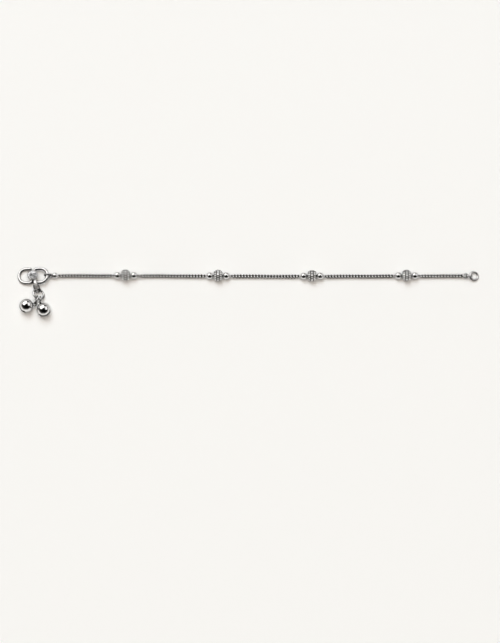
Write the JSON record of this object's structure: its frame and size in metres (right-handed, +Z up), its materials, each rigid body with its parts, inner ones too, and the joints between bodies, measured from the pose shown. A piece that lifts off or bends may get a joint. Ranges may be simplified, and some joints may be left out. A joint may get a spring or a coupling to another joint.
{
  "type": "payal anklet",
  "caption": "Silver payal anklet laid open and straight: woven chain with stations of faceted and plain beads, an S hook with a button and a drop of round bells, and a plain end ring.",
  "frame": {"origin": "middle of the bounding box, on the surface the anklet lies on", "axes": "+X along the chain from the hook to the end ring, +Z up, +Y to the side away from the bells"},
  "size_m": [0.2658, 0.0298, 0.0079],
  "materials": {
    "silver_polished": "polished silver",
    "silver_cut": "diamond-cut satin silver",
    "silver_woven": "woven silver wire",
    "pellet_steel": "plain steel ball"
  },
  "bodies": {
    "root": {"hook": "silver_polished", "bail_ring": "silver_polished", "drop_link": "silver_polished", "drop_ring": "silver_polished", "bell_ring_left": "silver_polished", "bell_ring_right": "silver_polished", "bell_left": "silver_polished", "bell_right": "silver_polished", "start_link": "silver_polished", "end_cap": "silver_polished", "small_bead_1": "silver_polished", "small_bead_2": "silver_polished", "small_bead_3": "silver_polished", "small_bead_4": "silver_polished", "small_bead_5": "silver_polished", "small_bead_6": "silver_polished", "small_bead_7": "silver_polished", "small_bead_8": "silver_polished", "end_link": "silver_polished", "end_ring": "silver_polished", "large_bead_1": "silver_cut", "large_bead_2": "silver_cut", "large_bead_3": "silver_cut", "large_bead_4": "silver_cut", "chain": "silver_woven", "pellet_left": "pellet_steel", "pellet_right": "pellet_steel"}
  },
  "joints": []
}
